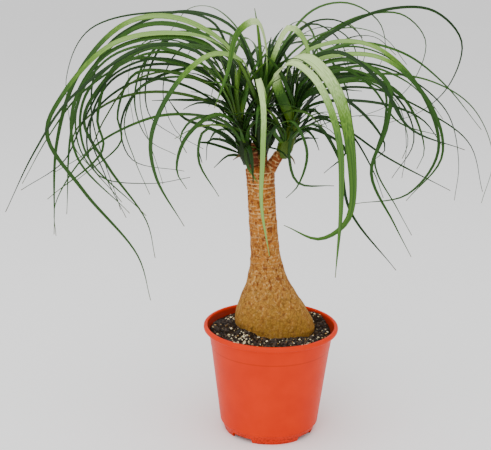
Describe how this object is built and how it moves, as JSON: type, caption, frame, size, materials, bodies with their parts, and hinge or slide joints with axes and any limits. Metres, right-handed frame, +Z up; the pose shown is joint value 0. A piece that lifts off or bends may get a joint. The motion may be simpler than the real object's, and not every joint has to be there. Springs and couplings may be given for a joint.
{
  "type": "potted ponytail palm",
  "caption": "Young ponytail palm with a swollen base, a ringed stem and a fountain of arching strap leaves, planted in a tapered plastic nursery pot.",
  "frame": {"origin": "on the floor under the centre of the pot", "axes": "+Z up along the pot's axis, -Y towards the front, +X to the right"},
  "size_m": [0.5926, 0.4048, 0.5385],
  "materials": {
    "pot_plastic": "satin",
    "potting_mix": "matte",
    "corky_bark": "matte",
    "strap_leaf": "satin"
  },
  "bodies": {
    "root": {"pot": "pot_plastic", "soil": "potting_mix", "trunk": "corky_bark", "leaf_crown": "strap_leaf"}
  },
  "joints": []
}
